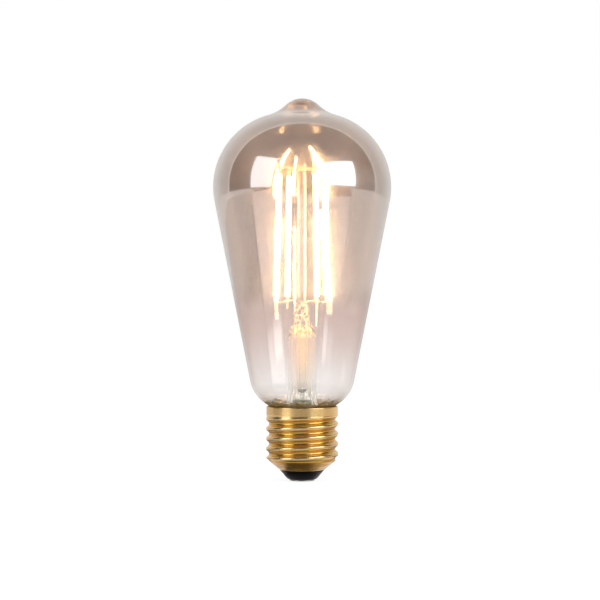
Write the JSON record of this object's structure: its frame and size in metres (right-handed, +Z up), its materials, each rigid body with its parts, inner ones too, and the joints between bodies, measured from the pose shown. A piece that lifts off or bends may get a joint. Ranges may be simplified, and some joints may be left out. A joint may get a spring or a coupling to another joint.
{
  "type": "smart light bulb",
  "caption": "Filament-style smart light bulb: smoked pear-shaped glass with a pip, glass stem with upright filaments, brass screw cap with the driver and radio inside.",
  "frame": {"origin": "centre of the lowest face of the centre contact", "axes": "+Z up along the lamp's axis from the contact to the glass pip; +Y is the side with the side-wire solder drop, -Y is the side seen in front"},
  "size_m": [0.065, 0.065, 0.1395],
  "materials": {
    "smoked_glass": "smoked semi-mirror coat that fades to clear near the shoulder",
    "stem_glass": "clear pressed glass",
    "nickel_wire": "drawn nickel-plated wire",
    "strip_ceramic": "matte alumina",
    "phosphor": "silicone filled with yellow phosphor, lit warm white",
    "cap_brass": "rolled brass sheet, lightly lacquered",
    "cap_insulator": "gloss black vitrified insulator",
    "contact_brass": "stamped rivet",
    "solder": "tinned solder",
    "cement": "baked basing cement",
    "sleeve_plastic": "moulded flame-retardant plastic",
    "board_laminate": "glass-fibre laminate with green solder mask",
    "capacitor_can": "aluminium can in a dark shrink sleeve",
    "film_box": "moulded box",
    "varistor_coat": "dipped epoxy",
    "resistor_body": "cement-coated wound resistor",
    "ferrite": "sintered ferrite",
    "magnet_wire": "enamelled copper wire",
    "moulded_package": "moulded epoxy package",
    "tinned_pin": "tin plate",
    "shield_tin": "tin-plated sheet",
    "copper_trace": "copper foil under solder mask",
    "chip_ceramic": "fired ceramic with tinned ends"
  },
  "bodies": {
    "root": {"glass_envelope": "smoked_glass", "glass_stem": "stem_glass", "exhaust_tube": "stem_glass", "glass_rod": "stem_glass", "lead_in_wire_left": "nickel_wire", "lead_in_wire_right": "nickel_wire", "crossbar_left": "nickel_wire", "crossbar_right": "nickel_wire", "crosswire_upper": "nickel_wire", "crosswire_lower": "nickel_wire", "screw_shell": "cap_brass", "insulator": "cap_insulator", "centre_contact": "contact_brass", "contact_wire": "nickel_wire", "side_wire": "nickel_wire", "side_solder": "solder", "basing_cement": "cement", "insulating_sleeve": "sleeve_plastic", "driver_board": "board_laminate", "filter_capacitor": "capacitor_can", "film_capacitor": "film_box", "surge_varistor": "varistor_coat", "fusible_resistor": "resistor_body", "choke_core": "ferrite", "choke_winding": "magnet_wire", "bridge_rectifier": "moulded_package", "driver_chip": "moulded_package", "driver_chip_pins": "tinned_pin", "radio_shield": "shield_tin", "radio_chip": "moulded_package", "crystal": "shield_tin", "antenna_trace": "copper_trace", "chip_passives": "chip_ceramic", "solder_joints": "solder", "filament_strip_1": "strip_ceramic", "filament_coating_1": "phosphor", "filament_tabs_1": "nickel_wire", "filament_strip_2": "strip_ceramic", "filament_coating_2": "phosphor", "filament_tabs_2": "nickel_wire", "filament_strip_3": "strip_ceramic", "filament_coating_3": "phosphor", "filament_tabs_3": "nickel_wire", "filament_strip_4": "strip_ceramic", "filament_coating_4": "phosphor", "filament_tabs_4": "nickel_wire"}
  },
  "joints": []
}
